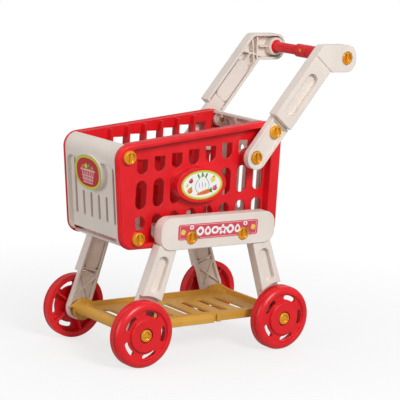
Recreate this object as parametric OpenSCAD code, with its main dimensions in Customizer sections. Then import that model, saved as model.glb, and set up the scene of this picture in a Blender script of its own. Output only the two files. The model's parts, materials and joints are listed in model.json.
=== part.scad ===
// Toy shopping trolley: slotted basket on two side frames, four wheels, raked handle.
// Millimetres, +Z up, front towards -Y, handle towards +Y, floor at Z = 0.

/* [Wheels] */
// outside radius of a wheel
wheel_r = 40; // [36:0.5:44]
// width of a wheel over the tread
wheel_w = 16.2; // [14:0.2:18]
// distance between front and rear axles
wheel_base = 205; // [190:1:220]
// radius of the wheel bolt shank
shank_r = 4; // [3:0.1:5]
// running clearance between bolt shank and wheel bore, radial
run_gap = 0.08; // [0.02:0.01:0.1]

/* [Basket] */
// outer face of the basket border, from the middle
side_x = 61; // [56:0.5:64]
// thickness of the basket border
border_t = 6; // [4:0.5:8]
// how far the slotted field lies behind the border
field_deep = 12; // [6:0.5:14]
// underside of the basket
basket_z = 137; // [130:1:145]
// pitch of the slot columns
slot_pitch = 24.4; // [23:0.1:25]
// width of one side slot
slot_w = 15; // [12:0.5:16]

/* [Side frames] */
// outer face of a leg
leg_x = 75.5; // [74:0.5:77]
// outer face of the plate between the legs
plate_x = 77; // [76:0.5:79]
// half width of a leg at the wheel end
leg_end_r = 15.5; // [14:0.5:17]

/* [Handle] */
// angle of the arms above the horizontal
arm_angle = 51; // [45:1:57]
// height of the grip bar axis
grip_z = 360; // [345:1:370]
// radius of the thin grip tube
tube_r = 6.4; // [5.5:0.1:7]
// radius of the thick grip sleeve
sleeve_r = 8.4; // [7.5:0.1:9]

/* [Fasteners] */
// radius of a thumb screw head
head_r = 8; // [7:0.1:8.5]

/* [Part to draw] */
// one sub-part, or all of them

/* [Hidden] */

$fn = 64;
e = 0.1;
axle = wheel_base / 2;
handle_rear = 196;
shift_y = -(handle_rear - axle - wheel_r) / 2;
inner_x = side_x - border_t;
field_x = side_x - field_deep;
field_t = 2.5;
dish_x = field_x - field_t;
frame_in = side_x + 1;
link_in = side_x + 0.4;
arm_in = side_x + 2.5;
hub_x = 68.5;

// basket outline in Y and Z, anticlockwise from the front lower corner
basket_pts = [[-126.7, basket_z], [100.5, basket_z], [101.5, 285.4], [-140.1, 260]];
basket_rad = [18, 18, 26, 18];
field_in = [7, 15.5, 6.5, 21.5];
lean = atan((140.1 - 126.7) / (260 - basket_z));
rise = (285.4 - 260) / (101.5 + 140.1);

// screw and mount positions, [Y, Z]
corner_pos = [[-122.4, 247], [-104.8, 150.3]];
frame_pos = [[-38, 150.2], [38, 150.2]];
link_pos = [57.5, 240];
link_len = 39.7;
grip_pos = [182, grip_z];
boss_pos = [-16, 209.5];

// wheel places: [side, axle sign, turn of the slots]
wheels = [[1, -1, -2], [-1, -1, 36], [1, 1, -2], [-1, 1, 20]];

// ---------- helpers ----------
function unit(v) = v / norm(v);
function dot2(a, b) = a[0] * b[0] + a[1] * b[1];
function half_angle(a, b, c) = acos(dot2(unit(a - b), unit(c - b))) / 2;
function prev(p, i) = p[(i + len(p) - 1) % len(p)];
function next(p, i) = p[(i + 1) % len(p)];
function arc_mid(p, i, r) = p[i] + unit(unit(prev(p, i) - p[i]) + unit(next(p, i) - p[i]))
  * r / sin(half_angle(prev(p, i), p[i], next(p, i)));
function arc_end(p, i, r, q) = p[i] + unit(q - p[i]) * r / tan(half_angle(prev(p, i), p[i], next(p, i)));

// crossing of two lines, each given by a point and a direction
function cross_at(p, u, q, v) = p + u * ((q[0] - p[0]) * v[1] - (q[1] - p[1]) * v[0])
  / (u[0] * v[1] - u[1] * v[0]);
function left_of(u) = [-u[1], u[0]];
// a convex outline moved inwards, edge by edge
function inset(p, d) = [for (i = [0:len(p) - 1])
  let (k = (i + len(p) - 1) % len(p), a = unit(p[i] - p[k]), b = unit(next(p, i) - p[i]))
  cross_at(p[k] + left_of(a) * d[k], a, p[i] + left_of(b) * d[i], b)];

// convex outline with its own radius at each corner
module rounded(p, r) {
  polygon([for (i = [0:len(p) - 1]) each [arc_end(p, i, r[i], prev(p, i)), arc_end(p, i, r[i], next(p, i))]]);
  for (i = [0:len(p) - 1]) translate(arc_mid(p, i, r[i])) circle(r[i] + 0.02);
}

module box2(w, h, r) {
  square([w - 2 * r, h], center = true);
  square([w, h - 2 * r], center = true);
  for (a = [-1, 1], b = [-1, 1]) translate([a * (w / 2 - r), b * (h / 2 - r)]) circle(r);
}

// rounded-end bar from point a to point b
module bar2(a, b, r) {
  d = b - a;
  translate(a) rotate(atan2(d[1], d[0])) {
    translate([0, -r]) square([norm(d), 2 * r]);
    circle(r);
    translate([norm(d), 0]) circle(r);
  }
}

// a flat outline in Y and Z, drawn from x over the thickness t
module yz(x, t) translate([x, 0, 0]) rotate([90, 0, 90]) linear_extrude(t) children();
module along_x(x, h, r, y, z) translate([x, y, z]) rotate([0, 90, 0]) cylinder(h = h, r = r);
module to_side(s) if (s > 0) children(); else mirror([1, 0, 0]) children();
module place() translate([0, shift_y, 0]) children();
// frame that leans with the basket front: Z up the slope, -Y outwards
module front_plane() translate([0, -126.7, basket_z]) rotate([lean, 0, 0]) children();

// ---------- basket ----------
function col(i) = -94.9 + slot_pitch * i;
function over(i) = col(i) - col(0);

// the slots of one side; the top row is taller by up
module slots2(up) {
  for (i = [0:7]) {
    w = slot_w / 2;
    low_end = 223.7 + 0.112 * over(i);
    top = 241.7 + up + 0.121 * over(i);
    // top row: square above, round below
    translate([col(i) - w, low_end + w]) square([slot_w, top - low_end - w]);
    translate([col(i), low_end + w]) circle(w);
    // middle row
    bar2([col(i), 182.3 + w + 0.088 * over(i)], [col(i), 216.6 - w + 0.08 * over(i)], w);
    // bottom row, short over the front screw
    low = i == 0 ? 157.5 : 146.5;
    bar2([col(i), low + w], [col(i), 174 - w + 0.078 * over(i)], w);
  }
}

// outline of the dished field, grown by g; the box round it runs out through the top edge
module dish2(g) rounded(inset(basket_pts, [for (d = field_in) d - g]), [7 + g, 6 + g, 7 + g, 6 + g]);
module dish_box2(g) rounded(inset(basket_pts, [field_in[0] - 2.5 - g, field_in[1] - 2.5 - g, -6, field_in[3] - 2.5 - g]),
  [8 + g, 8 + g, 3, 3]);
// basket outline drawn in by d
module edge2(d) rounded(inset(basket_pts, [d, d, d, d]), [for (r = basket_rad) r - d]);

// posts that carry the screws through the dish
module posts(x, t, r) {
  along_x(x, t, r, corner_pos[1][0], corner_pos[1][1]);
  for (p = frame_pos) along_x(x, t, r, p[0], p[1]);
  for (p = [link_pos, link_up()]) along_x(x, t, r, p[0], p[1]);
}

module side_panel(up = 0, along = 0) color([0.8, 0.03, 0.05]) difference() {
  union() {
    difference() {
      union() {
        // border, its outer edge stepped towards the rounding
        yz(inner_x, border_t - 3.6) rounded(basket_pts, basket_rad);
        yz(inner_x + 1, border_t - 2.6) edge2(1.1);
        yz(inner_x + 2, border_t - 2.2) edge2(2.9);
        yz(dish_x, 9.7) intersection() {
          dish_box2(0);
          edge2(0.6);
        }
      }
      yz(field_x, 20) dish2(0);
    }
    // oval boss for the picture
    translate([dish_x, boss_pos[0], boss_pos[1]]) rotate([90, 0, 90])
      scale([1, 0.592, 1]) cylinder(h = side_x - 1 - dish_x, r = 35.8);
    posts(dish_x, side_x - dish_x, 8.6);
    // upright ribs beside the columns, on the inner face
    for (i = [0:5]) yz(dish_x - 9, 9.2) intersection() {
      translate([col(i) + along + slot_w / 2 + 0.3, 159]) square([2, 200]);
      edge2(1.8);
    }
  }
  // hollow behind the boss
  translate([dish_x - 20, boss_pos[0], boss_pos[1]]) rotate([90, 0, 90])
    scale([1, 0.56, 1]) cylinder(h = side_x + 17 - dish_x, r = 33.2);
  yz(dish_x - 4, field_t + 6) difference() {
    translate([along, 0]) slots2(up);
    translate(boss_pos) scale([1, 0.6]) circle(36.3);
    for (p = [corner_pos[1], frame_pos[0], frame_pos[1], link_pos, link_up()]) translate(p) circle(9.2);
  }
  for (p = concat(corner_pos, frame_pos, [link_pos, link_up()])) along_x(dish_x - 4, 20, 4.3, p[0], p[1]);
}

function arm_dir() = [cos(arm_angle), sin(arm_angle)];
function arm_nrm() = [sin(arm_angle), -cos(arm_angle)];
function link_up() = link_pos + arm_dir() * link_len;
function on_arm(s, n) = link_pos + arm_dir() * s + arm_nrm() * n;

// a wall that follows the basket outline, d deep below it, t thick
module wrap2(d, t) difference() {
  rounded(inset(basket_pts, [d, d, d, d]), [for (r = basket_rad) r - d]);
  rounded(inset(basket_pts, [d + t, d + t, d + t, d + t]), [for (r = basket_rad) r - d - t]);
}

module front_panel() color([0.84, 0.79, 0.73]) {
  w = inner_x - e;
  difference() {
    union() {
      yz(-w, 2 * w) intersection() {
        wrap2(0.8, 3);
        translate([-160, 120]) square([36.5, 160]);
      }
      front_plane() translate([-w + 0.6, 2, 10]) cube([2 * w - 1.2, 7, 90]);
      // raised disc for the picture, proud of the edge
      front_plane() translate([0, 4, 84.5]) rotate([90, 0, 0]) scale([1, 0.735, 1]) cylinder(h = 6.4, r = 29.3);
      for (s = [-1, 1]) to_side(s) {
        // cheek and boss that the upper corner screw bites into
        yz(w - 3, 3) intersection() {
          rounded(inset(basket_pts, [2, 2, 2, 2]), [16, 16, 24, 16]);
          translate([-150, 234]) square([34, 60]);
        }
        along_x(w - 16, 16, 7, corner_pos[0][0], corner_pos[0][1]);
      }
    }
    dish_room();
    // shallow pocket in the outer face
    front_plane() difference() {
      translate([0, 5.7, 53]) rotate([90, 0, 0]) linear_extrude(20) box2(2 * w - 7, 91, 9);
      translate([0, 8, 84.5]) rotate([90, 0, 0]) scale([1, 0.735, 1]) cylinder(h = 30, r = 29.3);
    }
    front_plane() for (x = [-41.7, -25, -8.3, 8.3, 25, 41.7]) {
      top = abs(x) > 40 ? 95 : 57.5;
      translate([x, 15, 0]) rotate([90, 0, 0]) linear_extrude(25) bar2([0, 29], [0, top - 2.2], 2.2);
    }
    for (s = [-1, 1]) to_side(s) along_x(w - 13, 20, shank_r - 0.4, corner_pos[0][0], corner_pos[0][1]);
  }
}

// space taken by the two dished sides
module dish_room() for (s = [-1, 1]) to_side(s) {
  yz(dish_x - 0.2, 20) dish_box2(0.3);
  posts(dish_x - 0.2, 20, 8.9);
}

module back_panel() color([0.84, 0.79, 0.73]) {
  w = inner_x - e;
  difference() {
    union() {
      yz(-w, 2 * w) intersection() {
        wrap2(0.8, 3);
        translate([74, 143.2]) square([60, 160]);
      }
      // upright ribs on the inner face
      for (x = [-29, 0, 29]) yz(x - 1.2, 2.4) intersection() {
        wrap2(3.5, 4);
        translate([74, 150]) square([60, 160]);
      }
      // ears that the arm screws bite into
      for (s = [-1, 1]) to_side(s) {
        yz(dish_x - 5, 4.6) difference() {
          intersection() {
            rounded(inset(basket_pts, [2, 2, 2, 2]), [16, 16, 24, 16]);
            union() {
              bar2(link_pos, [110, 240], 7.5);
              bar2(link_up(), [110, 262], 8.5);
              translate([86, 200]) square([30, 50]);
            }
          }
        }
        for (p = [link_pos, link_up()]) along_x(dish_x - 9, 8.6, 6, p[0], p[1]);
      }
    }
    dish_room();
    // four long openings low in the wall
    for (x = [-43.5, -14.5, 14.5, 43.5]) translate([x, 160, 0]) rotate([90, 0, 0])
      linear_extrude(70) bar2([0, 166], [0, x * x > 1000 ? 190 : 238], 5);
    for (s = [-1, 1], p = [link_pos, link_up()]) to_side(s)
      along_x(dish_x - 12, 20, shank_r - 0.4, p[0], p[1]);
  }
}

module basket_floor() color([0.84, 0.79, 0.73]) {
  w = inner_x - e;
  difference() {
    union() {
      translate([-w, -117.5, 139.5]) cube([2 * w, 213, 3]);
      for (s = [-1, 1], p = concat(frame_pos, [corner_pos[1]])) to_side(s) {
        along_x(dish_x - 13, 12.6, 7, p[0], p[1]);
        translate([dish_x - 13, p[0] - 7, 141]) cube([12.6, 14, p[1] - 141]);
      }
      for (x = [-36, 0, 36]) translate([x - 1, -100, 137.2]) cube([2, 190, 2.8]);
    }
    dish_room();
    for (y = [-76, -50, -24, 2, 28, 54, 80]) for (x = [-18, 18])
      translate([x, y, 130]) linear_extrude(20) bar2([-11, 0], [11, 0], 4);
    for (s = [-1, 1], p = concat(frame_pos, [corner_pos[1]])) to_side(s)
      along_x(dish_x - 11, 20, shank_r - 0.4, p[0], p[1]);
  }
}

// ---------- side frames ----------
// leg centre lines, [Y, Z] at the plate; the lower end is on the axle
leg_top = [[-72.5, 134], [68.5, 134]];
plate_mid = [1.3, 156.2];
plate_size = [167, 38.6];

module leg2(k, grow) {
  s = k == 0 ? -1 : 1;
  a = [s * axle, wheel_r];
  d = unit(leg_top[k] - a);
  n = [d[1], -d[0]];
  top = leg_top[k] + d * 6;
  r = leg_end_r + grow;
  r2 = 12.6 + grow;
  polygon([a + n * r, top + n * r2, top - n * r2, a - n * r]);
  translate(a) circle(r);
}

module side_frame() color([0.84, 0.79, 0.73]) difference() {
  union() {
    // walls of the two legs, open to the inside
    for (k = [0, 1]) {
      yz(frame_in, leg_x - frame_in) difference() {
        leg2(k, 0);
        leg2(k, -3);
      }
      yz(leg_x - 3, 3) leg2(k, 0);
      // outer web of the leg end, thin beside the wheel
      yz(hub_x - 2.2, 2.2) intersection() {
        leg2(k, 0);
        translate([(k == 0 ? -1 : 1) * axle, wheel_r]) circle(45);
      }
      leg_ribs(k);
    }
    // plate between the legs
    yz(frame_in, plate_x - frame_in) difference() {
      translate(plate_mid) box2(plate_size[0], plate_size[1], 15);
      translate(plate_mid) box2(plate_size[0] - 7, plate_size[1] - 7, 11.5);
    }
    yz(plate_x - 3.5, 3.5) translate(plate_mid) box2(plate_size[0], plate_size[1], 15);
    for (y = [-56, -19, 20, 58]) yz(frame_in + 1, 12) translate([y - 1.2, 140]) square([2.4, 33]);
    for (p = frame_pos) along_x(frame_in, 13, 11.2, p[0], p[1]);
  }
  // room for the wheel
  for (k = [-1, 1]) along_x(hub_x, 20, wheel_r + 5, k * axle, wheel_r);
  for (k = [0, 1]) leg_groove(k);
  for (p = frame_pos) {
    along_x(plate_x - 4.5, 10, head_r + 0.5, p[0], p[1]);
    along_x(50, 40, 4.3, p[0], p[1]);
  }
  for (k = [-1, 1]) along_x(50, 40, shank_r + 0.3, k * axle, wheel_r);
}

// cross rib and a low saltire on the inner side of a leg
module leg_ribs(k) {
  s = k == 0 ? -1 : 1;
  a = [s * axle, wheel_r];
  d = unit(leg_top[k] - a);
  n = [d[1], -d[0]];
  yz(frame_in + 1, leg_x - frame_in - 2) intersection() {
    leg2(k, -1);
    polygon([a + d * 47.5 + n * 20, a + d * 50 + n * 20, a + d * 50 - n * 20, a + d * 47.5 - n * 20]);
  }
  yz(frame_in + 1, hub_x - frame_in - 3) intersection() {
    leg2(k, -1);
    union() {
      bar2(a + d * 10 + n * 13, a + d * 43 - n * 13, 1);
      bar2(a + d * 10 - n * 13, a + d * 43 + n * 13, 1);
    }
  }
  // hollow back of the outer groove
  yz(frame_in + 2, leg_x - frame_in - 3) bar2(a + d * 56.5, a + d * 87, 9.4);
}

module leg_groove(k) {
  s = k == 0 ? -1 : 1;
  a = [s * axle, wheel_r];
  d = unit(leg_top[k] - a);
  yz(leg_x - 5.5, 8) bar2(a + d * 56.5, a + d * 87, 7.2);
}

// ---------- lower tray ----------
module lower_tray() color([0.79, 0.55, 0.16]) {
  tx = 54.5;
  y0 = -axle - 14;
  y1 = axle + 14;
  difference() {
    union() {
      translate([-tx, y0 + 6, 40.2]) cube([2 * tx, y1 - y0 - 12, 3]);
      // side walls with an ear round each axle
      for (s = [-1, 1]) to_side(s) {
        yz(tx - 3.5, 3.5) {
          translate([-axle, 37.5]) square([2 * axle, 10.5]);
          for (k = [-1, 1]) tray_ear2(k);
        }
        // sloping skirt along the front half
        yz_skirt(tx);
        translate([tx - 1, 15, 42]) cube([1.2, axle - 15, 6]);
        translate([tx - 1, 21, 37.5]) cube([4, 6, 9]);
        for (k = [-1, 1]) along_x(tx - 14, hub_x - 2.4 - tx + 14, 9, k * axle, wheel_r);
      }
      // rounded front bar and upright rear wall
      translate([-tx, y0 + 6.5, 43]) rotate([0, 90, 0]) cylinder(h = 2 * tx, r = 6.5);
      translate([-tx, y0 + 2, 37.5]) cube([2 * tx, 8, 5]);
      translate([-tx, y1 - 9, 38]) cube([2 * tx, 4, 10.8]);
      for (y = [-70, -41.5, -14.5, 12.5, 39.5, 66.5]) translate([-tx + 2, y - 1, 36.8]) cube([2 * tx - 4, 2, 4]);
    }
    // cross slots through the floor
    for (y = [-85, -55, -28, -1, 26, 53, 80]) translate([0, y, 30]) linear_extrude(20)
      bar2([-25, 0], [25, 0], 5.6);
    for (s = [-1, 1], k = [-1, 1]) to_side(s) along_x(tx - 12, 40, shank_r + 0.3, k * axle, wheel_r);
  }
}

module tray_ear2(k) {
  translate([k * axle, wheel_r]) circle(13.8);
  polygon([[k * axle - 9, 50.3], [k * axle - 21, 44], [k * axle + 21, 44], [k * axle + 9, 50.3]]);
}

module yz_skirt(tx) translate([0, 15, 0]) rotate([90, 0, 0]) linear_extrude(axle + 3)
  polygon([[tx - 1, 37.5], [tx + 5, 37.5], [tx + 5, 43.6], [tx, 47.8], [tx - 1, 47.8]]);

// ---------- handle ----------
arm_half = 15.25;
arm_mid = -3.75;
arm_end_z = [343, 376.5];
arm_start = 52.7;

// a straight band of the arm, from s0 to s1 along it and n0 to n1 across it
module arm_band(s0, s1, n0, n1) polygon([on_arm(s0, n0), on_arm(s0, n1), on_arm(s1, n1), on_arm(s1, n0)]);

module link2(g) {
  translate(link_pos) circle(14.5 - g);
  arm_band(0, arm_start - 0.2 - g, -14.5 + g, 14.5 - g);
}

module arm_link() color([0.86, 0.81, 0.75]) difference() {
  union() {
    yz(link_in, 8.6) link2(0);
    // tongue inside the arm
    yz(arm_in + 0.6, 4.6) arm_band(arm_start - 4, arm_start + 14, -10 + arm_mid, 10 + arm_mid);
  }
  // shallow face inside a raised lip
  yz(link_in + 7, 5) link2(3.4);
  along_x(link_in + 4.8, 10, head_r + 0.4, link_pos[0], link_pos[1]);
  for (p = [link_pos, link_up()]) along_x(50, 40, 4.3, p[0], p[1]);
}

// outline of the arm: raked shank and level end
module arm2(g) {
  n0 = arm_mid - arm_half + g;
  n1 = arm_mid + arm_half - g;
  z0 = arm_end_z[0] + g;
  z1 = arm_end_z[1] - g;
  p = [on_arm(arm_start + g, n0), on_arm(arm_start + g, n1), cross_at(on_arm(0, n1), arm_dir(), [0, z0], [1, 0]),
    [handle_rear - 14, z0], [handle_rear - 14, z1], cross_at(on_arm(0, n0), arm_dir(), [0, z1], [1, 0])];
  r = 12 - g;
  b = p[5];
  u = unit(p[4] - b);
  v = unit(p[0] - b);
  h = acos(dot2(u, v)) / 2;
  polygon([p[0], p[1], p[2], p[3], p[4], b + u * r / tan(h), b + v * r / tan(h)]);
  translate(b + unit(u + v) * r / sin(h)) circle(r);
  hh = 14 - g;
  for (z = [z0 + hh, z1 - hh]) translate([handle_rear - 14, z]) circle(hh);
  translate([handle_rear - 15, z0 + hh]) square([15 - g, z1 - z0 - 2 * hh]);
}

module arm() color([0.86, 0.81, 0.75]) difference() {
  union() {
    yz(arm_in, 14) difference() {
      arm2(0);
      arm2(3);
    }
    yz(arm_in + 11, 3) arm2(0);
    // raised back of the long recess, and ribs in the hollow
    yz(arm_in + 0.6, 11) bar2(on_arm(74, arm_mid), on_arm(116, arm_mid), 10.3);
    yz(arm_in + 3, 9) intersection() {
      arm2(1);
      union() {
        bar2(on_arm(133, arm_mid - 15), on_arm(149, arm_mid + 17), 1.1);
        bar2(on_arm(133, arm_mid + 15), on_arm(158, arm_mid - 13), 1.1);
        bar2(on_arm(126, arm_mid), on_arm(140, arm_mid), 1.1);
        bar2(on_arm(60, arm_mid - 15), on_arm(66, arm_mid), 1.1);
        bar2(on_arm(60, arm_mid + 15), on_arm(66, arm_mid), 1.1);
        bar2([154, grip_z - 14], [152, grip_z + 16], 1.1);
        bar2([158, grip_z], [174, grip_z], 1.1);
      }
    }
    along_x(arm_in, 12, 11.6, grip_pos[0], grip_pos[1]);
  }
  // long recess on the outer face
  yz(arm_in + 8, 8) bar2(on_arm(73, arm_mid), on_arm(117, arm_mid), 8.2);
  // seam across the bend
  yz(arm_in + 13.2, 3) arm_band(143.2, 144.2, -30, 30);
  // slot for the tongue of the link
  yz(arm_in + 0.4, 5) arm_band(arm_start - 8, arm_start + 14.2, -10.2 + arm_mid, 10.2 + arm_mid);
  along_x(arm_in - 1, 6, sleeve_r + 0.1, grip_pos[0], grip_pos[1]);
  along_x(arm_in + 9.8, 10, head_r + 0.4, grip_pos[0], grip_pos[1]);
  along_x(50, 60, 4.3, grip_pos[0], grip_pos[1]);
}

module grip_tube() color([0.8, 0.03, 0.05]) difference() {
  union() {
    along_x(-arm_in - 4.9, arm_in + 14.9, tube_r, grip_pos[0], grip_pos[1]);
    along_x(-arm_in - 4.9, 4.8, sleeve_r, grip_pos[0], grip_pos[1]);
  }
  along_x(-arm_in - 10, 28, shank_r - 0.4, grip_pos[0], grip_pos[1]);
  pin_hole();
}

module pin_hole() translate([-5, grip_pos[0] - 20, grip_pos[1] + 1]) rotate([-90, 0, 0]) {
  cylinder(h = 40, r = 1.6);
  cylinder(h = 12.9, r = 2.4);
}

module grip_sleeve() color([0.8, 0.03, 0.05]) difference() {
  along_x(-18, arm_in + 22.9, sleeve_r, grip_pos[0], grip_pos[1]);
  along_x(-19, 29.2, tube_r + 0.05, grip_pos[0], grip_pos[1]);
  along_x(arm_in - 16, 28, shank_r - 0.4, grip_pos[0], grip_pos[1]);
  // turned groove beside the pin
  translate([3, grip_pos[0], grip_pos[1]]) rotate([0, 90, 0]) difference() {
    cylinder(h = 1.4, r = sleeve_r + 1);
    cylinder(h = 1.4, r = sleeve_r - 0.7);
  }
  pin_hole();
}

module grip_pin() color([0.85, 0.6, 0.15]) translate([-5, grip_pos[0] - sleeve_r - 0.4, grip_pos[1] + 1])
  rotate([-90, 0, 0]) {
    cylinder(h = 2 * sleeve_r - 1.2, r = 1.5);
    cylinder(h = 0.9, r = 2.2);
  }

// ---------- fasteners ----------
// thumb screw along X: seat under the head at x, shank reaching inwards by len
module thumb_screw(x, p, len, dip) translate([x, p[0], p[1]]) rotate([0, 90, 0]) {
  difference() {
    union() {
      cylinder(h = 3.2, r = head_r);
      translate([0, 0, 3.2]) cylinder(h = 1.2, r1 = head_r, r2 = head_r - 1.2);
    }
    translate([0, 0, 4.4 - dip]) cylinder(h = dip + 1, r = head_r - 2);
  }
  // raised finger bar across the dish
  intersection() {
    translate([-head_r + 1.6, -1.3, 1]) cube([2 * head_r - 3.2, 2.6, 3.8]);
    cylinder(h = 4.8, r = head_r - 1.4);
  }
  translate([0, 0, -len]) cylinder(h = len + 0.5, r = shank_r - 0.45);
}

module corner_screws() color([0.85, 0.6, 0.15]) for (s = [-1, 1]) to_side(s) {
  thumb_screw(side_x + 0.1, corner_pos[0], 17, 2);
  thumb_screw(side_x + 0.1, corner_pos[1], 24, 2);
}

module frame_screws() color([0.85, 0.6, 0.15]) for (s = [-1, 1], p = frame_pos) to_side(s)
  thumb_screw(plate_x - 4.4, p, 36, 2.6);

module arm_screws() color([0.85, 0.6, 0.15]) for (s = [-1, 1]) to_side(s) {
  thumb_screw(link_in + 4.9, link_pos, 26, 2.6);
  thumb_screw(link_in + 7.1, link_up(), 28, 2);
}

module grip_screws() color([0.85, 0.6, 0.15]) for (s = [-1, 1]) to_side(s)
  thumb_screw(arm_in + 9.9, grip_pos, 22, 2.6);

module wheel_bolts() color([0.85, 0.6, 0.15]) for (w = wheels) to_side(w[0])
  translate([0, w[1] * axle, wheel_r]) {
    translate([43, 0, 0]) rotate([0, 90, 0]) cylinder(h = 40.2, r = shank_r);
    translate([82.9, 0, 0]) rotate([0, 90, 0]) difference() {
      union() {
        cylinder(h = 3.7, r = 7.4);
        translate([0, 0, 3.7]) cylinder(h = 1.3, r1 = 7.4, r2 = 6.1);
      }
      translate([0, 0, 3]) cylinder(h = 5, r = 5);
    }
    translate([84, -4.6, -1.2]) cube([3.6, 9.2, 2.4]);
  }

module wheel_washers() color([0.9, 0.88, 0.84]) for (w = wheels) to_side(w[0])
  translate([hub_x + 0.1, w[1] * axle, wheel_r]) rotate([0, 90, 0]) difference() {
    cylinder(h = 1.2, r = 8.5);
    translate([0, 0, -1]) cylinder(h = 4, r = shank_r + 0.3);
  }

// ---------- pictures, as thin printed labels ----------
module front_sticker() color([0.8, 0.2, 0.1]) front_plane() translate([0, -2.42, 84.5])
  rotate([90, 0, 0]) scale([1, 0.73, 1]) cylinder(h = 0.4, r = 27.5);

module side_sticker() color([0.95, 0.95, 0.85]) translate([side_x - 0.95, boss_pos[0], boss_pos[1]])
  rotate([90, 0, 90]) scale([1, 0.583, 1]) cylinder(h = 0.4, r = 30);

module frame_sticker() color([0.85, 0.2, 0.3]) yz(plate_x + 0.05, 0.4) difference() {
  translate([0, 157.6]) box2(117, 18.4, 3);
  for (p = frame_pos) translate(p) circle(head_r + 0.7);
}

// ---------- wheels ----------
module wheel_profile() {
  w = wheel_w;
  // tread and rounded shoulder
  difference() {
    union() {
      translate([33.5, 0]) square([wheel_r - 33.5, w - 7]);
      translate([wheel_r - 7, w - 7]) intersection() {
        circle(7);
        square(7);
      }
      translate([31, w - 7]) square([wheel_r - 38, 7]);
    }
    translate([wheel_r - 1, w - 7.8]) square([2, 1.5]);
  }
  // dished face, hub disc and bearing boss
  polygon([[20, w - 6], [34, w - 6], [34, w], [31, w], [29.8, w - 2.6], [20, w - 2.6]]);
  polygon([[12, w - 6], [20.5, w - 6], [20.5, w - 0.4], [19.5, w + 0.6], [12, w + 0.6]]);
  translate([shank_r + run_gap, 0.4]) square([5, w - 4.2]);
  translate([9, w - 7]) square([4, 7.6]);
}

module wheel(turn) color([0.8, 0.03, 0.05]) rotate([0, 90, 0]) difference() {
  union() {
    rotate_extrude() wheel_profile();
    for (a = [0:72:359]) rotate(a + turn + 126) translate([8, -1.2, 2]) cube([26, 2.4, wheel_w - 7]);
  }
  for (a = [0:72:359]) rotate(a + turn + 90) wheel_slot();
}

// one curved opening through the web
module wheel_slot() translate([0, 0, -5]) {
  rotate([0, 0, -15]) rotate_extrude(angle = 30) translate([23.2, 0]) square([5.6, 40]);
  for (a = [-15, 15]) rotate(a) translate([26, 0, 0]) cylinder(h = 40, r = 2.8);
}

module wheel_at(w) to_side(w[0]) translate([hub_x + 1.4, w[1] * axle, wheel_r]) wheel(w[2]);

place() side_panel();  // side_panel_left
place() to_side(-1) side_panel(8.3, 3.5);  // side_panel_right
place() front_panel();
place() back_panel();
place() basket_floor();
place() side_frame();  // side_frame_left
place() to_side(-1) side_frame();  // side_frame_right
place() lower_tray();
place() arm_link();  // arm_link_left
place() to_side(-1) arm_link();  // arm_link_right
place() arm();  // arm_left
place() to_side(-1) arm();  // arm_right
place() grip_tube();
place() grip_sleeve();
place() grip_pin();
place() corner_screws();
place() frame_screws();
place() arm_screws();
place() grip_screws();
place() wheel_bolts();
place() wheel_washers();
place() front_sticker();
place() side_sticker();  // side_sticker_left
place() to_side(-1) side_sticker();  // side_sticker_right
place() frame_sticker();  // frame_sticker_left
place() to_side(-1) frame_sticker();  // frame_sticker_right
place() wheel_at(wheels[0]);  // wheel_front_left
place() wheel_at(wheels[1]);  // wheel_front_right
place() wheel_at(wheels[2]);  // wheel_rear_left
place() wheel_at(wheels[3]);  // wheel_rear_right
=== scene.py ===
"""Toy shopping trolley: looks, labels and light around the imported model."""

import json
import math

import bmesh
import bpy
import numpy as np
from mathutils import Matrix, Vector


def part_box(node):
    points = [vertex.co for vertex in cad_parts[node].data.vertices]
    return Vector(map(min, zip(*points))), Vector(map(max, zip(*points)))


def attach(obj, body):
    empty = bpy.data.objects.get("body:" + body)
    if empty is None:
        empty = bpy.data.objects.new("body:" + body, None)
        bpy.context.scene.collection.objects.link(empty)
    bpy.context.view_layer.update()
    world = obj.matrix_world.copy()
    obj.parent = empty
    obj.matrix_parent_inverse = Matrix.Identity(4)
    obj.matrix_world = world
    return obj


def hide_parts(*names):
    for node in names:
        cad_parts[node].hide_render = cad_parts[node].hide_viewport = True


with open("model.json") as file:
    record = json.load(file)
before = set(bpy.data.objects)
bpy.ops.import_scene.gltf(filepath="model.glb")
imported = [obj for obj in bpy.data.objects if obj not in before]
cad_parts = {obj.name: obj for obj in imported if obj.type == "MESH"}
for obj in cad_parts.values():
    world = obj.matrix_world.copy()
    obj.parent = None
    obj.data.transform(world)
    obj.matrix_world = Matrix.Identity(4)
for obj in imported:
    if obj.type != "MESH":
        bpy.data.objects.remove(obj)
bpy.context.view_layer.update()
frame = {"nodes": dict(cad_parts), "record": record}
MM = 0.001
BODY = "cart"


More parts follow.
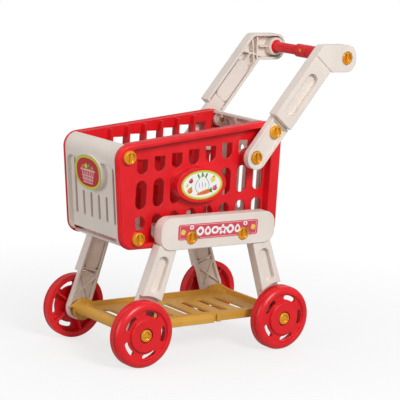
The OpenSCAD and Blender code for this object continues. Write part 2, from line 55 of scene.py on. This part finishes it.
# ---------- node helpers ----------
class Graph:
    """A material's node tree with short calls for the nodes that the finishes use."""

    def __init__(self, name):
        self.material = bpy.data.materials.new(name)
        self.material.use_nodes = True
        self.tree = self.material.node_tree
        self.tree.nodes.clear()
        self.out = self.tree.nodes.new("ShaderNodeOutputMaterial")
        self.surface = self.tree.nodes.new("ShaderNodeBsdfPrincipled")
        self.tree.links.new(self.surface.outputs[0], self.out.inputs[0])
        self.place = self.node("ShaderNodeTexCoord").outputs["Object"]

    def node(self, kind, **values):
        made = self.tree.nodes.new(kind)
        for key, value in values.items():
            setattr(made, key, value)
        return made

    def link(self, source, target):
        self.tree.links.new(source, target)

    def noise(self, scale, detail=3.0, rough=0.55, stretch=None):
        made = self.node("ShaderNodeTexNoise")
        made.inputs["Scale"].default_value = scale
        made.inputs["Detail"].default_value = detail
        made.inputs["Roughness"].default_value = rough
        source = self.place
        if stretch:
            turn = self.node("ShaderNodeMapping")
            turn.inputs["Scale"].default_value = stretch
            self.link(source, turn.inputs["Vector"])
            source = turn.outputs[0]
        self.link(source, made.inputs["Vector"])
        return made.outputs["Fac"]

    def spread(self, source, low, high, new_low, new_high):
        made = self.node("ShaderNodeMapRange")
        for index, value in zip((1, 2, 3, 4), (low, high, new_low, new_high)):
            made.inputs[index].default_value = value
        self.link(source, made.inputs[0])
        return made.outputs[0]

    def blend(self, factor, first, second, mode="MIX"):
        """Colours mixed by a factor; each of the two is a socket or an RGB triple."""
        made = self.node("ShaderNodeMix", data_type="RGBA", blend_type=mode)
        self.put(factor, made.inputs[0])
        self.put(first, made.inputs[6])
        self.put(second, made.inputs[7])
        return made.outputs[2]

    def put(self, value, socket):
        if isinstance(value, bpy.types.NodeSocket):
            self.link(value, socket)
        elif isinstance(value, (tuple, list)):
            socket.default_value = (*value, 1.0)
        else:
            socket.default_value = value

    def maths(self, operation, first, second=0.0):
        made = self.node("ShaderNodeMath", operation=operation)
        self.put(first, made.inputs[0])
        self.put(second, made.inputs[1])
        return made.outputs[0]


def srgb(red, green, blue):
    """Display values from 0 to 255 as linear colour."""
    values = np.array([red, green, blue]) / 255.0
    linear = np.where(values <= 0.04045, values / 12.92, ((values + 0.055) / 1.055) ** 2.4)
    return tuple(float(v) for v in linear)


def moulded_plastic(name, colour, rough=0.34, edge=0.9, drift=0.05, wear_and_highlight_amount=0.35, coat=0.08, metal=0.0):
    """Injection-moulded plastic: slow colour drift, satin mottling, a fine spark-eroded grain,
    softened edges and a little paler colour along them, partly wear and partly a painted highlight."""
    g = Graph(name)
    dark = tuple(c * (1 - 2.2 * drift) for c in colour)
    light = tuple(min(1.0, c * (1 + drift) + 0.15 * drift) for c in colour)
    cloud = g.noise(26.0, 4.0, 0.6)
    base = g.blend(g.spread(cloud, 0.3, 0.7, 0.0, 1.0), dark, light)
    # edge mask: where the rounded normal leaves the flat one; it pales the colour there, partly as wear and
    # partly as a painted highlight
    soft = g.node("ShaderNodeBevel", samples=6)
    soft.inputs["Radius"].default_value = edge * MM
    flat = g.node("ShaderNodeNewGeometry").outputs["Normal"]
    lean = g.node("ShaderNodeVectorMath", operation="DOT_PRODUCT")
    g.link(soft.outputs[0], lean.inputs[0])
    g.link(flat, lean.inputs[1])
    mask = g.spread(lean.outputs["Value"], 0.99, 0.72, 0.0, 1.0)
    scuffs = g.spread(g.noise(240.0, 5.0, 0.7), 0.42, 0.66, 0.15, 1.0)
    # painted highlight mixed with wear: edges, broken up by noise, are lifted towards a paler colour to stand
    # in for light caught on rounded edges
    wear_and_highlight = g.maths("MULTIPLY", g.maths("MULTIPLY", mask, scuffs), wear_and_highlight_amount)
    pale = tuple(min(1.0, c + 0.22 * (1 - c)) for c in colour)
    g.link(g.blend(wear_and_highlight, base, pale), g.surface.inputs["Base Color"])
    # roughness: broad mottling, fine swirl and duller rubbed edges
    mottle = g.spread(g.noise(95.0, 4.0, 0.6), 0.3, 0.7, rough - 0.05, rough + 0.07)
    fine = g.spread(g.noise(900.0, 2.0, 0.5), 0.3, 0.7, -0.02, 0.03)
    both = g.maths("ADD", mottle, fine)
    g.link(g.maths("ADD", both, g.maths("MULTIPLY", wear_and_highlight, 0.25)), g.surface.inputs["Roughness"])
    # grain: fine moulded texture over a slow sink-mark waviness
    waves = g.node("ShaderNodeBump")
    waves.inputs["Strength"].default_value = 0.25
    waves.inputs["Distance"].default_value = 0.25 * MM
    g.link(g.noise(45.0, 2.0, 0.5), waves.inputs["Height"])
    g.link(soft.outputs[0], waves.inputs["Normal"])
    grain = g.node("ShaderNodeBump")
    grain.inputs["Strength"].default_value = 0.22
    grain.inputs["Distance"].default_value = 0.02 * MM
    g.link(g.noise(2600.0, 2.0, 0.6), grain.inputs["Height"])
    g.link(waves.outputs[0], grain.inputs["Normal"])
    g.link(grain.outputs[0], g.surface.inputs["Normal"])
    g.surface.inputs["IOR"].default_value = 1.5
    g.surface.inputs["Metallic"].default_value = metal
    g.surface.inputs["Coat Weight"].default_value = coat
    g.surface.inputs["Coat Roughness"].default_value = 0.18
    g.surface.inputs["Subsurface Weight"].default_value = 0.06
    g.surface.inputs["Subsurface Radius"].default_value = (0.6, 0.35, 0.25)
    g.surface.inputs["Subsurface Scale"].default_value = 0.002
    return g.material


def printed_ink(name, colour, rough=0.42):
    """Ink on a thin vinyl label: faint halftone mottling and a slightly uneven varnish."""
    g = Graph(name)
    speck = g.spread(g.noise(1500.0, 2.0, 0.5), 0.35, 0.65, 0.0, 1.0)
    dark = tuple(c * 0.9 for c in colour)
    g.link(g.blend(speck, dark, colour), g.surface.inputs["Base Color"])
    varnish = g.spread(g.noise(160.0, 3.0, 0.6), 0.3, 0.7, rough - 0.08, rough + 0.08)
    g.link(varnish, g.surface.inputs["Roughness"])
    bump = g.node("ShaderNodeBump")
    bump.inputs["Strength"].default_value = 0.15
    bump.inputs["Distance"].default_value = 0.02 * MM
    g.link(g.noise(700.0, 2.0, 0.5), bump.inputs["Height"])
    g.link(bump.outputs[0], g.surface.inputs["Normal"])
    g.surface.inputs["Coat Weight"].default_value = 0.25
    g.surface.inputs["Coat Roughness"].default_value = 0.15
    return g.material


RED = moulded_plastic("red_moulding", srgb(232, 10, 26), rough=0.36, edge=1.1)
WHEEL_RED = moulded_plastic("wheel_moulding", srgb(232, 10, 26), rough=0.34, edge=0.9)
CREAM = moulded_plastic("cream_moulding", srgb(238, 226, 216), rough=0.42, edge=1.5, wear_and_highlight_amount=0.2, drift=0.03)
OCHRE = moulded_plastic("ochre_moulding", srgb(220, 164, 62), rough=0.42, edge=1.2)
GOLD = moulded_plastic("golden_screw", srgb(248, 176, 34), rough=0.2, edge=0.5, coat=0.5, metal=0.4)
WASHER = moulded_plastic("washer_plastic", srgb(232, 226, 215), rough=0.5, edge=0.3)
INKS = {
    "white": printed_ink("ink_white", srgb(250, 250, 248)),
    "lime": printed_ink("ink_lime", srgb(214, 222, 74)),
    "yellow": printed_ink("ink_yellow", srgb(244, 212, 84)),
    "orange": printed_ink("ink_orange", srgb(236, 120, 32)),
    "rose": printed_ink("ink_rose", srgb(222, 72, 92)),
    "red": printed_ink("ink_red", srgb(204, 34, 44)),
    "blush": printed_ink("ink_blush", srgb(244, 190, 190)),
    "green": printed_ink("ink_green", srgb(84, 148, 62)),
    "grey": printed_ink("ink_grey", srgb(78, 78, 78)),
    "gold": printed_ink("ink_gold", srgb(190, 150, 40)),
}

SLOT_FINISH = {"red_plastic": RED, "cream_plastic": CREAM, "ochre_plastic": OCHRE, "gold_plastic": GOLD,
               "washer_plastic": WASHER, "printed_label": INKS["white"]}
LABEL_BASE = {"front_sticker": INKS["lime"],
              "side_sticker_left": INKS["lime"], "side_sticker_right": INKS["lime"],
              "frame_sticker_left": INKS["rose"], "frame_sticker_right": INKS["rose"]}


def dress(node, finish):
    """Gives every material slot of a carried-over node one finish."""
    data = frame["nodes"][node].data
    data.materials.clear()
    data.materials.append(finish)


for part in frame["record"]["subparts"]:
    name = part["node"]
    finish = SLOT_FINISH[part["material_slot"]]
    if name.startswith(("wheel_front", "wheel_rear")):
        finish = WHEEL_RED
    dress(name, LABEL_BASE.get(name, finish))


# ---------- light, floor and camera ----------
def studio():
    """White surroundings, a large key light from the upper right and a weaker fill."""
    world = bpy.data.worlds.new("studio_air")
    bpy.context.scene.world = world
    world.use_nodes = True
    tree = world.node_tree
    back = tree.nodes["Background"]
    path = tree.nodes.new("ShaderNodeLightPath")
    level = tree.nodes.new("ShaderNodeMapRange")
    tree.links.new(path.outputs["Is Camera Ray"], level.inputs[0])
    level.inputs[3].default_value = 0.42
    level.inputs[4].default_value = 1.0
    tree.links.new(level.outputs[0], back.inputs["Strength"])
    back.inputs["Color"].default_value = (1, 1, 1, 1)
    for name, place, aim, size, power in (
            ("key_light", (1.55, -0.1, 1.15), (0, 0, 0.16), 0.6, 21),
            ("front_fill", (0.1, -1.8, 0.6), (0, 0, 0.16), 0.9, 8.5),
            ("rim_light", (-0.9, 1.2, 1.3), (0, 0, 0.2), 0.8, 3)):
        lamp = bpy.data.lights.new(name, "AREA")
        lamp.size = size
        lamp.energy = power
        made = bpy.data.objects.new(name, lamp)
        bpy.context.scene.collection.objects.link(made)
        toward = Vector(aim) - Vector(place)
        made.location = place
        made.rotation_euler = toward.to_track_quat("-Z", "Y").to_euler()


def floor():
    """A plain pale sheet under the wheels."""
    half = 3.0
    mesh = bpy.data.meshes.new("floor")
    corners = [(-half, -half, 0), (half, -half, 0), (half, half, 0), (-half, half, 0)]
    mesh.from_pydata(corners, [], [(0, 1, 2, 3)])
    made = bpy.data.objects.new("floor", mesh)
    bpy.context.scene.collection.objects.link(made)
    g = Graph("floor_paper")
    tone = g.blend(g.spread(g.noise(3.0, 3.0, 0.5), 0.3, 0.7, 0.0, 1.0), (0.86, 0.86, 0.86), (0.9, 0.9, 0.9))
    g.link(tone, g.surface.inputs["Base Color"])
    g.surface.inputs["Roughness"].default_value = 0.9
    # the sheet brightens into the white surroundings away from the middle, and sends little light back up
    reach = g.node("ShaderNodeVectorMath", operation="LENGTH")
    g.link(g.place, reach.inputs[0])
    path = g.node("ShaderNodeLightPath")
    glow = g.node("ShaderNodeEmission")
    g.link(g.spread(path.outputs["Is Camera Ray"], 0.0, 1.0, 0.3, 1.0), glow.inputs["Strength"])
    mixed = g.node("ShaderNodeMixShader")
    g.link(g.spread(reach.outputs["Value"], 0.15, 0.6, 0.72, 1.0), mixed.inputs[0])
    g.link(g.surface.outputs[0], mixed.inputs[1])
    g.link(glow.outputs[0], mixed.inputs[2])
    g.link(mixed.outputs[0], g.out.inputs[0])
    mesh.materials.append(g.material)


def camera():
    """Long lens from the front left, a little above, slightly rolled."""
    data = bpy.data.cameras.new("camera")
    data.lens = 152.16
    data.sensor_width = 36.0
    data.clip_end = 20.0
    made = bpy.data.objects.new("camera", data)
    bpy.context.scene.collection.objects.link(made)
    right = (0.58342, 0.81011, 0.05768)
    up = (-0.17754, 0.05792, 0.98241)
    back = (0.79253, -0.58339, 0.17762)
    turn = Matrix((right, up, back)).transposed().to_4x4()
    made.matrix_world = Matrix.Translation((1.6521, -1.21615, 0.5481)) @ turn
    bpy.context.scene.camera = made


studio()
floor()
camera()
bpy.context.scene.view_settings.view_transform = "Standard"


# ---------- surfaces made of rings ----------
def ring_quads(rows, count):
    """Faces joining each ring of count points to the next, as index quads."""
    index = np.arange(rows * count).reshape(rows, count)
    a, b = index[:-1], index[1:]
    return np.stack([a, np.roll(a, -1, 1), np.roll(b, -1, 1), b], -1).reshape(-1, 4)


def settle(name, mesh):
    """Puts a mesh into the scene as a piece of the cart."""
    made = bpy.data.objects.new(name, mesh)
    bpy.context.scene.collection.objects.link(made)
    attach(made, BODY)
    return made


# ---------- rounded rim of the basket sides ----------
# how far the front edge leans, the heights of the front and rear upper corners, and the corner radii, in mm
RIM_LEAN = 13.4
RIM_HEIGHTS = (260.0, 285.4)
RIM_RADII = (18, 18, 26, 18)
# the lip's rounding: its reach inwards and its rise, the level where it starts, and how proud it stands
LIP_REACH = 3.6
LIP_RISE = 3.95
LIP_FOOT = 57.0
PROUD = 0.04


def rounded_outline(corners, radii, inset, steps=16):
    """Points round a convex outline in millimetres: each edge is moved inwards by inset, neighbouring
    edges are crossed, and each corner becomes an arc of its radius less the inset, centred that radius
    from both edges."""
    corners = np.asarray(corners, float)
    ring = []
    for k, corner in enumerate(corners):
        back = corners[k - 1] - corner
        ahead = corners[(k + 1) % len(corners)] - corner
        back, ahead = back / np.linalg.norm(back), ahead / np.linalg.norm(ahead)
        half = math.acos(float(back @ ahead)) / 2
        middle = corner + (back + ahead) / np.linalg.norm(back + ahead) * radii[k] / math.sin(half)
        # the arc runs from the foot of the edge behind to the foot of the edge ahead
        first = math.atan2(*(corner + back * radii[k] / math.tan(half) - middle)[::-1])
        last = math.atan2(*(corner + ahead * radii[k] / math.tan(half) - middle)[::-1])
        sweep = (last - first) % (2 * math.pi)
        angle = first + np.linspace(0, 1, steps) * sweep
        ring.append(middle + (radii[k] - inset) * np.stack([np.cos(angle), np.sin(angle)], 1))
    return np.concatenate(ring)


def side_rim(side):
    """Rounded lip of a basket side, a section swept round the side's outline: it rises along the edge,
    turns over in a quarter ellipse (inset grows as one minus cosine, height as sine) and lies down
    on the face."""
    low, high = (np.array(v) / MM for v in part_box("side_panel_" + side))
    corners = [(low[1] + RIM_LEAN, low[2]), (high[1] - 1.0, low[2]), (high[1], RIM_HEIGHTS[1]),
               (low[1], RIM_HEIGHTS[0])]
    turn = np.linspace(0, math.pi / 2, 9)
    insets = np.concatenate([[-PROUD, -PROUD], -PROUD + LIP_REACH * (1 - np.cos(turn)), [4.6, 5.2]])
    rises = np.concatenate([[55.6, 56.4], LIP_FOOT + LIP_RISE * np.sin(turn), [60.93, 60.6]])
    sign = 1 if side == "left" else -1
    rings = [np.insert(rounded_outline(corners, RIM_RADII, inset), 0, sign * rise, axis=1)
             for inset, rise in zip(insets, rises)]
    spot = np.array(rings) * MM
    quads = ring_quads(*spot.shape[:2])
    if side == "right":
        quads = quads[:, ::-1]
    mesh = bpy.data.meshes.new("side_rim_" + side)
    mesh.from_pydata(spot.reshape(-1, 3).tolist(), [], quads.tolist())
    mesh.materials.append(RED)
    mesh.shade_smooth()
    settle("side_rim_" + side, mesh)


for flank in ("left", "right"):
    side_rim(flank)


# ---------- labels ----------
class Sheet:
    """A label's plane: a middle, two unit directions in it and the direction it faces."""

    def __init__(self, middle, across, upward):
        self.middle = np.array(middle, float)
        self.across = np.array(across, float) / np.linalg.norm(across)
        self.upward = np.array(upward, float) / np.linalg.norm(upward)
        self.out = np.cross(self.across, self.upward)


def print_shape(name, sheet, outline, ink, layer, hole=None):
    """A printed shape as a low plate. The outline is rings of points in millimetres on the label's plane;
    each ring is the outline pulled towards its middle (or the hole's edge) by a share from 0 to 1,
    lifted by layer plus a small rounded rise at the rim, so the plate's top is a grid of rings."""
    edge = np.asarray(outline, float)
    inner = np.asarray(hole, float) if hole is not None else None
    middle = edge.mean(0)
    shares = np.array([0.0, 0.0, 0.03, 0.5, 1.0])
    lifts = np.array([0.0, 0.6, 1.0, 1.0, 1.0]) if inner is None else np.array([0.0, 0.6, 1.0, 1.0, 0.0])
    target = np.repeat(middle[None], len(edge), 0) if inner is None else inner
    flat = edge[None] * (1 - shares[:, None, None]) + target[None] * shares[:, None, None]
    height = (layer - 0.06) + 0.06 * lifts
    spot = (sheet.middle + (flat[..., :1] * sheet.across + flat[..., 1:] * sheet.upward
            + height[:, None, None] * sheet.out) * MM)
    quads = ring_quads(*flat.shape[:2])
    area = np.cross(edge - middle, np.roll(edge, -1, 0) - middle).sum()
    if area < 0:
        quads = quads[:, ::-1]
    mesh = bpy.data.meshes.new(name)
    mesh.from_pydata(spot.reshape(-1, 3).tolist(), [], quads.tolist())
    mesh.materials.append(ink)
    if inner is None:
        # close the middle: the last ring is one point repeated
        work = bmesh.new()
        work.from_mesh(mesh)
        bmesh.ops.remove_doubles(work, verts=work.verts, dist=1e-7)
        work.to_mesh(mesh)
        work.free()
    mesh.update()
    return settle(name, mesh)


def oval(x, y, half_x, half_y, count=64, turn=0.0, power=2.0):
    """Points of a rounded oval: half-axes times cosine and sine raised to 2 over power, turned by degrees."""
    angle = np.linspace(0, 2 * np.pi, count, endpoint=False)
    c, s = np.cos(angle), np.sin(angle)
    px = half_x * np.sign(c) * np.abs(c) ** (2 / power)
    py = half_y * np.sign(s) * np.abs(s) ** (2 / power)
    t = math.radians(turn)
    return np.stack([x + px * math.cos(t) - py * math.sin(t), y + px * math.sin(t) + py * math.cos(t)], 1)


def shrunk(outline, by):
    """An outline moved inwards by a distance, point by point along its own normal."""
    points = np.asarray(outline, float)
    along = np.roll(points, -1, 0) - np.roll(points, 1, 0)
    normal = np.stack([-along[:, 1], along[:, 0]], 1) / np.linalg.norm(along, axis=1, keepdims=True)
    return points + normal * by


def curve(x, y, size, radii, turn=0.0, count=48):
    """A closed smooth outline: radius over angle interpolated through evenly spaced radii with a cubic
    wave, scaled by size, turned by degrees and moved to x, y."""
    radii = np.asarray(radii, float)
    angle = np.linspace(0, 2 * np.pi, count, endpoint=False)
    spot = angle / (2 * np.pi) * len(radii)
    i = spot.astype(int) % len(radii)
    f = (1 - np.cos((spot - spot.astype(int)) * np.pi)) / 2
    r = size * (radii[i] * (1 - f) + radii[(i + 1) % len(radii)] * f)
    t = angle + math.radians(turn)
    return np.stack([x + r * np.cos(t), y + r * np.sin(t)], 1)


def fruit(name, sheet, x, y, r, ink, squash=0.92, turn=0.0):
    """A round fruit with a leaf and a highlight."""
    print_shape(name, sheet, oval(x, y, r, r * squash, 28, turn), INKS[ink], 0.09)
    leaf = oval(x + 0.35 * r, y + 0.95 * r, 0.5 * r, 0.22 * r, 16, 35 + turn)
    print_shape(name + "_leaf", sheet, leaf, INKS["green"], 0.11)
    shine = oval(x - 0.35 * r, y + 0.3 * r, 0.22 * r, 0.13 * r, 14, 40)
    print_shape(name + "_shine", sheet, shine, INKS["white"], 0.12)


def carrot(name, sheet, x, y, length, turn):
    """A carrot lying across the picture: width falls as the square root of the distance from the tip,
    with three darker creases and a tuft of leaves."""
    s = np.linspace(0, 1, 22)
    half = 0.17 * length * np.sqrt(s) * (1 - 0.25 * s ** 6)
    upper = np.stack([length * (s - 0.5), half], 1)
    lower = np.stack([length * (s - 0.5), -half], 1)[::-1]
    cap = np.array([[length * 0.53, 0.10 * length], [length * 0.54, 0], [length * 0.53, -0.10 * length]])
    body = np.concatenate([lower[::-1][1:], cap[::-1], upper[::-1][:-1]])
    t = math.radians(turn)
    spin = np.array([[math.cos(t), math.sin(t)], [-math.sin(t), math.cos(t)]])
    print_shape(name, sheet, body @ spin + (x, y), INKS["orange"], 0.13)
    for k, (at, tall) in enumerate(((-0.12, 0.5), (0.12, -0.5), (0.33, 0.55))):
        crease = oval(at * length, tall * 0.1 * length, 0.3, 0.07 * length, 12) @ spin + (x, y)
        print_shape(name + "_crease_%d" % k, sheet, crease, INKS["red"], 0.15)
    for k, lean in enumerate((-32, 0, 32)):
        leaf = oval(0.64 * length, 0, 0.15 * length, 0.055 * length, 16)
        a = math.radians(lean)
        swing = np.array([[math.cos(a), math.sin(a)], [-math.sin(a), math.cos(a)]])
        leaf = (leaf - (0.5 * length, 0)) @ swing + (0.5 * length, 0)
        print_shape(name + "_leaf_%d" % k, sheet, leaf @ spin + (x, y), INKS["green"], 0.12)


def side_label(side):
    """Oval vegetable picture on the basket side."""
    node = "side_sticker_" + side
    low, high = (np.array(v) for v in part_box(node))
    sign = 1 if side == "left" else -1
    face = low[0] if side == "left" else high[0]
    sheet = Sheet((face, (low[1] + high[1]) / 2, (low[2] + high[2]) / 2), (0, sign, 0), (0, 0, 1))
    tag = side + "_"
    hx = (high[1] - low[1]) / 2 / MM
    hz = (high[2] - low[2]) / 2 / MM
    base = print_shape(tag + "label_base", sheet, oval(0, 0, hx, hz, 96), INKS["lime"], 0.36)
    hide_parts(node)
    sheet.middle = sheet.middle + sheet.out * 0.36 * MM
    outer, inner = oval(0, 0, hx - 0.5, hz - 0.5, 96), oval(0, 0, hx - 1.0, hz - 1.0, 96)
    print_shape(tag + "label_line", sheet, outer, INKS["gold"], 0.03, hole=inner)
    print_shape(tag + "label_field", sheet, oval(0, 0, hx - 3.0, hz - 2.5, 96), INKS["white"], 0.05)
    # a turnip drawn in white with a grey line, between vegetables
    bulb = [1.0, 0.98, 0.93, 0.9, 1.0, 1.28, 1.0, 0.9, 0.93, 0.98, 1.0, 0.99, 0.97, 0.97, 0.97, 0.99]
    ring = curve(0.5, -0.6, 10.4, bulb, turn=-22.5, count=64)
    print_shape(tag + "bulb_line", sheet, ring, INKS["grey"], 0.08, hole=shrunk(ring, 0.75))
    print_shape(tag + "bulb", sheet, shrunk(ring, 0.7), INKS["white"], 0.07)
    for k, lean in enumerate((118, 92, 66)):
        a = math.radians(lean)
        leaf = oval(0.5 + 13.0 * math.cos(a), -0.6 + 12.8 * math.sin(a), 3.2, 1.3, 20, lean)
        print_shape(tag + "sprout_%d" % k, sheet, leaf, INKS["green"], 0.1)
    for k, at in enumerate((-4.2, 0.4, 4.8)):
        rib = oval(at, -0.2, 0.32, 4.6 - 0.25 * abs(at), 20, -at * 1.6)
        print_shape(tag + "bulb_rib_%d" % k, sheet, rib, INKS["grey"], 0.1)
    carrot(tag + "carrot", sheet, 1.5, -9.6, 19, 12)
    fruit(tag + "tomato", sheet, -16.4, 5.2, 3.0, "red", turn=20)
    fruit(tag + "orange", sheet, -17.2, -6.4, 3.7, "orange")
    fruit(tag + "plum", sheet, 19.0, -4.6, 3.3, "rose", turn=-15)
    fruit(tag + "pear", sheet, 15.8, 6.4, 3.4, "yellow", 1.15, -20)
    fruit(tag + "lemon", sheet, -21.6, -0.4, 2.0, "yellow", 0.8, 30)


def band_label(side):
    """Long picture band on the side frame: a line inside the edge and a row of plain white market shapes."""
    node = "frame_sticker_" + side
    low, high = (np.array(v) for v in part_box(node))
    sign = 1 if side == "left" else -1
    face = high[0] if side == "left" else low[0]
    sheet = Sheet((face, (low[1] + high[1]) / 2, (low[2] + high[2]) / 2), (0, sign, 0), (0, 0, 1))
    tag = side + "_band_"
    for k, at in enumerate((-51.5, 51.5)):
        mark = curve(at, 0, 3.6, [1, 0.8] * 4, 22.5, 32)
        print_shape(tag + "mark_%d" % k, sheet, mark, INKS["yellow"], 0.06)
    forms = {
        "apple": [0.98, 1.0, 1.02, 0.86, 1.02, 1.0, 0.98, 0.92],
        "pear": [0.8, 0.72, 1.0, 0.72, 0.8, 0.95, 0.98, 0.95],
        "loaf": [1.05, 0.95, 0.85, 0.95, 1.05, 0.95, 0.85, 0.95],
        "star": [1.1, 0.62] * 5,
    }
    # each shape: place along the band, height, size; the two over the screws are small
    order = (("loaf", -39.5, 5.2, 2.9), ("apple", -27.0, 0, 5.6), ("pear", -16.0, 0, 5.6),
             ("loaf", -5.2, 0, 5.4), ("star", 6.0, 0, 6.0), ("apple", 17.2, 0, 5.6),
             ("pear", 28.0, 0, 5.2), ("loaf", 39.5, 5.2, 2.9))
    for k, (form, at, up, size) in enumerate(order):
        turn = 90 if form == "star" else 0
        ring = curve(at, up, size, forms[form], turn)
        hole = curve(at, up, 0.42 * size, forms[form], turn)
        print_shape(tag + "shape_%d" % k, sheet, ring, INKS["white"], 0.05, hole=hole)
    # pale line inside the edge, broken where the screws stand
    for k, (x0, x1, z) in enumerate(((-56, 56, 7.9), (-27, 27, -7.9), (-56, -48.5, -7.9), (48.5, 56, -7.9))):
        line = np.array([[x0, z - 0.35], [x1, z - 0.35], [x1, z + 0.35], [x0, z + 0.35]])
        print_shape(tag + "line_%d" % k, sheet, line, INKS["blush"], 0.04)
    for k, x in enumerate((-56, 56)):
        line = np.array([[x - 0.35, -7.5], [x + 0.35, -7.5], [x + 0.35, 7.5], [x - 0.35, 7.5]])
        print_shape(tag + "end_%d" % k, sheet, line, INKS["blush"], 0.04)


def front_label():
    """Badge on the front: a lime border, a red field and a small basket of fruit."""
    low, high = (np.array(v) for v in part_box("front_sticker"))
    # the front panel's slope as a unit direction
    upward = np.array([0, -0.10826, 0.99412])
    middle = np.array([0, (low[1] + high[1]) / 2, (low[2] + high[2]) / 2])
    sheet = Sheet(middle, (1, 0, 0), upward)
    sheet.middle = middle - sheet.out * 0.2 * MM
    hx = high[0] / MM
    hz = (high[2] - low[2]) / 2 / MM / 0.99412
    base = print_shape("badge_base", sheet, oval(0, 0, hx, hz, 96, power=2.5), INKS["lime"], 0.4)
    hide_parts("front_sticker")
    sheet.middle = sheet.middle + sheet.out * 0.4 * MM
    outer, inner = (oval(0, 0, hx - by, hz - by, 96, power=2.5) for by in (0.5, 1.1))
    print_shape("badge_line", sheet, outer, INKS["gold"], 0.03, hole=inner)
    print_shape("badge_field", sheet, oval(0, 0, hx - 3.2, hz - 3.0, 96, power=2.4), INKS["red"], 0.05)
    rim = np.array([[-15, 1.2], [15, 1.2], [15.6, 2.4], [15, 3.8], [-15, 3.8], [-15.6, 2.4]])
    print_shape("badge_basket_rim", sheet, rim, INKS["blush"], 0.09)
    for k in range(7):
        x = -12 + 4 * k
        low_x = x * 0.74
        bar = np.array([[low_x - 0.7, -11.5], [low_x + 0.7, -11.5], [x + 0.8, 0.6], [x - 0.8, 0.6]])
        print_shape("badge_basket_bar_%d" % k, sheet, bar, INKS["blush"], 0.09)
    for k, z in enumerate((-4.4, -8.4, -12.6)):
        half = 12.8 + (z + 4.4) * 0.27
        strip = np.array([[-half, z - 0.6], [half, z - 0.6], [half, z + 0.6], [-half, z + 0.6]])
        print_shape("badge_basket_strip_%d" % k, sheet, strip, INKS["blush"], 0.11)
    for k, (x, ink) in enumerate(((-10, "orange"), (-3.4, "yellow"), (3.4, "green"), (10, "orange"))):
        fruit("badge_fruit_%d" % k, sheet, x, 7.4 - 0.02 * x * x, 3.1, ink)


for flank in ("left", "right"):
    side_label(flank)
    band_label(flank)
front_label()
